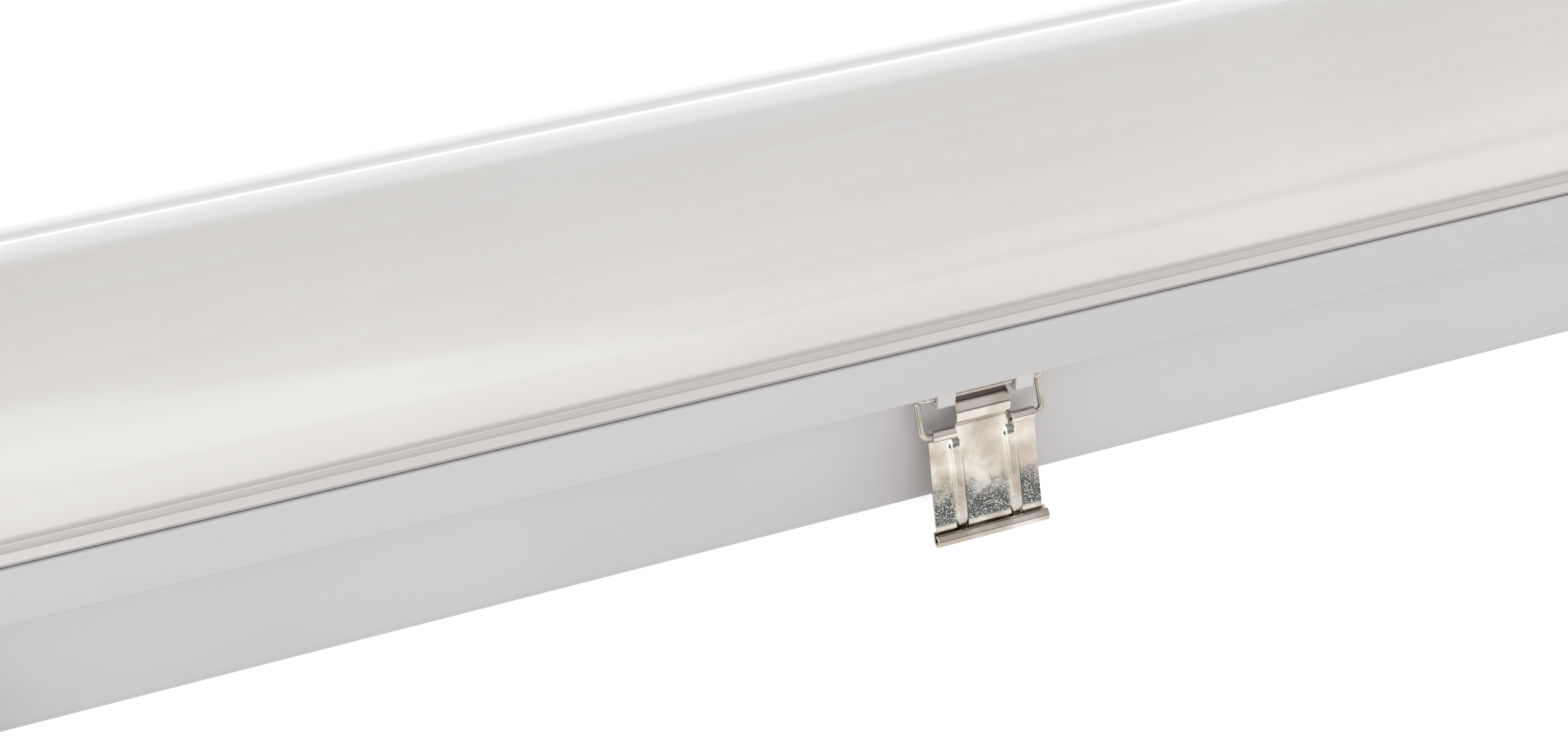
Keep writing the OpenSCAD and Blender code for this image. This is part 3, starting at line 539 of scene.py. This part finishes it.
def press_strip(bm, turn, columns, path, width=None, height=None):
    """Adds a strip of sheet that follows a path, and lays it out in the object's frame."""
    rows = []
    for y, z in path:
        k = width(y, z) if width else 1.0
        rows.append([bm.verts.new(turn(x * k, y - (height(x, z) if height else 0.0), z)) for x in columns])
    for low, high in zip(rows, rows[1:]):
        for i in range(len(columns) - 1):
            bm.faces.new((low[i], low[i + 1], high[i + 1], high[i])).smooth = True


def latch_turn(place, rear):
    """Takes a point of the hanging lever, in millimetres from its knuckle line, to the object's frame."""
    lean, swing = math.radians(BAIL_LEAN), math.radians(LEVER_LEAN)

    def turn(x, y, z):
        ly = y * math.cos(swing) + z * math.sin(swing) - BAIL_L * math.sin(lean) - HINGE_Y
        lz = z * math.cos(swing) - y * math.sin(swing) - BAIL_L * math.cos(lean) + HINGE_Z
        if rear:
            return ((place * LATCH_PITCH - x) * MM, -ly * MM, lz * MM)
        return ((place * LATCH_PITCH + x) * MM, ly * MM, lz * MM)

    return turn


def stamped_lever(name, place, rear):
    turn = latch_turn(place, rear)
    bm = bmesh.new()
    columns = sheet_columns()
    plate = plate_path()
    roll = roll_path(plate[-1])
    skirt = [p for p in plate if p[1] <= ROLL_SKIRT - PLATE_L] + roll[1:]
    knuckle = neck_path() + arc(0, 0, PIN_R, 0, KNUCKLE_TURN, KNUCKLE_CUTS)
    tongue = tongue_path()
    edge, half = PLATE_W / 2, TONGUE_W / 2

    def tip_width(y, z):
        past = y - (tongue[-1][0] - TIP_CORNER)
        if z < 0.0 or past <= 0.0:
            return 1.0
        return (half - TIP_CORNER + math.sqrt(max(TIP_CORNER ** 2 - past ** 2, 0.0))) / half

    press_strip(bm, turn, columns, plate, height=bead_height)
    press_strip(bm, turn, columns, [plate[-1]] + roll[1:])
    for side in (-1, 1):
        lips = sorted(side * (edge + out) for out in (0.0, SKIRT_FOLD, ROLL_OVER))
        press_strip(bm, turn, lips, skirt)
        across = [x for x in columns if KNUCKLE_IN - 0.01 <= side * x <= KNUCKLE_OUT + 0.01]
        press_strip(bm, turn, across, knuckle)
    press_strip(bm, turn, [x for x in columns if abs(x) <= half + 0.01], tongue, width=tip_width)
    obj = finished(bm, name, 1e-6)
    thick = obj.modifiers.new("sheet", "SOLIDIFY")
    thick.thickness, thick.offset, thick.use_even_offset = SHEET * MM, 0.0, True
    obj.data = bpy.data.meshes.new_from_object(obj.evaluated_get(bpy.context.evaluated_depsgraph_get()))
    obj.modifiers.clear()
    obj.data.set_sharp_from_angle(angle=math.radians(SHARP_ANGLE))
    return obj


for rear in (False, True):
    for place, word in ((-1, "left"), (0, "middle"), (1, "right")):
        where = ("rear_" if rear else "front_") + word
        lever = stamped_lever("stamped_lever_" + where, place, rear)
        give(lever, sheet_steel)
        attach(lever, where + "_lever")
        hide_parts("lever_" + where)


# Studio


def facing(ahead):
    return ahead.to_track_quat("-Z", "Y")


def panel(name, centre, aim, width, height, power, colour=(1.0, 1.0, 1.0), mirrored=True):
    light = bpy.data.lights.new(name, "AREA")
    light.shape, light.size, light.size_y = "RECTANGLE", width, height
    light.energy, light.color = power, colour
    obj = shown(name, light)
    obj.location = centre
    obj.rotation_mode = "QUATERNION"
    obj.rotation_quaternion = facing(Vector(aim) - Vector(centre))
    obj.visible_glossy = mirrored


def board(name, corners):
    mesh = bpy.data.meshes.new(name)
    mesh.from_pydata(corners, [], [(0, 1, 2, 3)])
    return shown(name, mesh)


def pale_floor():
    """Pale to the light that it sends back, and a little brighter where it is seen or mirrored."""
    obj = board("floor", [(-9, -9, 0), (9, -9, 0), (9, 9, 0), (-9, 9, 0)])
    f = Finish("pale_floor")
    plain = f.add("ShaderNodeBsdfDiffuse", None, {"Color": (0.90, 0.89, 0.88, 1.0)})
    glow = f.add("ShaderNodeEmission", None, {"Color": (1.0, 1.0, 1.0, 1.0), "Strength": 0.80})
    dim = f.add("ShaderNodeBsdfDiffuse", None, {"Color": (0.55, 0.55, 0.55, 1.0)})
    both = f.add("ShaderNodeAddShader", None, {0: Link(f, glow.outputs[0]), 1: Link(f, dim.outputs[0])})
    path = f.add("ShaderNodeLightPath")
    camera, glossy, through = (Link(f, path.outputs["Is " + ray + " Ray"])
                               for ray in ("Camera", "Glossy", "Transmission"))
    f.surface(f.add("ShaderNodeMixShader", None,
                    {0: camera.larger(glossy).larger(through), 1: Link(f, plain.outputs[0]),
                     2: Link(f, both.outputs[0])}))
    give(obj, f.material)
    obj.location.z = -0.0002


def studio_world():
    """White where the camera sees it, and a little dimmer as a light."""
    world = bpy.data.worlds.new("studio")
    bpy.context.scene.world = world
    world.use_nodes = True
    tree = world.node_tree
    tree.nodes.clear()
    path = tree.nodes.new("ShaderNodeLightPath")
    mixed = tree.nodes.new("ShaderNodeMixShader")
    tree.links.new(path.outputs["Is Camera Ray"], mixed.inputs[0])
    for socket, colour, strength in ((1, (1.0, 0.99, 0.99), 0.74), (2, (1.0, 1.0, 1.0), 1.0)):
        sky = tree.nodes.new("ShaderNodeBackground")
        sky.inputs["Color"].default_value = (*colour, 1.0)
        sky.inputs["Strength"].default_value = strength
        tree.links.new(sky.outputs[0], mixed.inputs[socket])
    out = tree.nodes.new("ShaderNodeOutputWorld")
    tree.links.new(mixed.outputs[0], out.inputs["Surface"])


def card(name, corners, colour, strength):
    """A board that only glossy surfaces mirror, so that it puts no light on the object."""
    obj = board(name, corners)
    f = Finish(name)
    give(obj, f.surface(f.add("ShaderNodeEmission", None, {"Color": (*colour, 1.0), "Strength": strength})))
    obj.visible_camera = obj.visible_diffuse = obj.visible_shadow = False
    obj.visible_transmission = obj.visible_volume_scatter = False


pale_floor()
studio_world()
card("dark_card", [(-3, -2.6, 0.0), (5, -2.6, 0.0), (5, -2.6, 0.55), (-3, -2.6, 0.55)],
     (0.72, 0.76, 0.77), 0.26)
card("cool_card", [(-0.06, -1.42, 0.0), (0.36, -1.42, 0.0), (-0.03, -0.55, 1.3), (-0.25, -0.55, 1.3)],
     (0.94, 1.0, 0.985), 2.4)
card("low_card", [(-0.08, -1.4, 0.0005), (0.36, -1.4, 0.0005), (-0.03, -0.09, 0.0005), (-0.5, -0.09, 0.0005)],
     (0.95, 1.0, 0.99), 1.55)
card("right_card", [(1.1, -0.95, 0.0), (1.1, 0.8, 0.0), (1.1, 0.8, 0.9), (1.1, -0.95, 0.9)],
     (1.0, 0.99, 0.97), 1.9)
panel("back_softbox", (0.9, 2.6, 1.20), (0.0, 0.0, 0.05), 3.8, 1.0, 13.0, (0.96, 0.985, 1.0))
panel("back_strip", (0.9, 2.5, 0.70), (0.0, 0.0, 0.05), 4.0, 0.09, 5.0)
panel("front_softbox", (-0.3, -1.5, 0.5), (0.0, -0.05, 0.03), 0.9, 0.7, 6.0, (1.0, 0.985, 0.975), False)
panel("side_softbox", (1.3, -0.5, 0.5), (0.1, -0.05, 0.04), 0.7, 0.7, 2.0, (1.0, 0.985, 0.97))


# Camera, standing where the photographer stood


def photo_camera():
    tilt, turn = math.radians(33.0), math.radians(23.6)
    focus, width, height, px_per_mm = 5350.0, 2560.0, 1213.0, 7.2
    latch, latch_px = Vector((0.0, -52.0 * MM, 37.5 * MM)), (1610.0, 632.0)
    ahead = Vector((math.sin(turn) * math.cos(tilt), math.cos(turn) * math.cos(tilt), -math.sin(tilt)))
    right = Vector((math.cos(turn), -math.sin(turn), 0.0))
    up = Vector((math.sin(turn) * math.sin(tilt), math.cos(turn) * math.sin(tilt), math.cos(tilt)))
    depth = focus / px_per_mm * MM
    data = bpy.data.cameras.new("camera")
    data.sensor_width, data.lens = 36.0, 36.0 * focus / width
    data.clip_start, data.clip_end = 0.05, 40.0
    obj = shown("camera", data)
    obj.location = (latch - depth * ahead
                    - (latch_px[0] - width / 2) / focus * depth * right
                    + (latch_px[1] - height / 2) / focus * depth * up)
    obj.rotation_mode = "QUATERNION"
    obj.rotation_quaternion = facing(ahead)
    bpy.context.scene.camera = obj


photo_camera()
bpy.context.scene.view_settings.view_transform = "Standard"
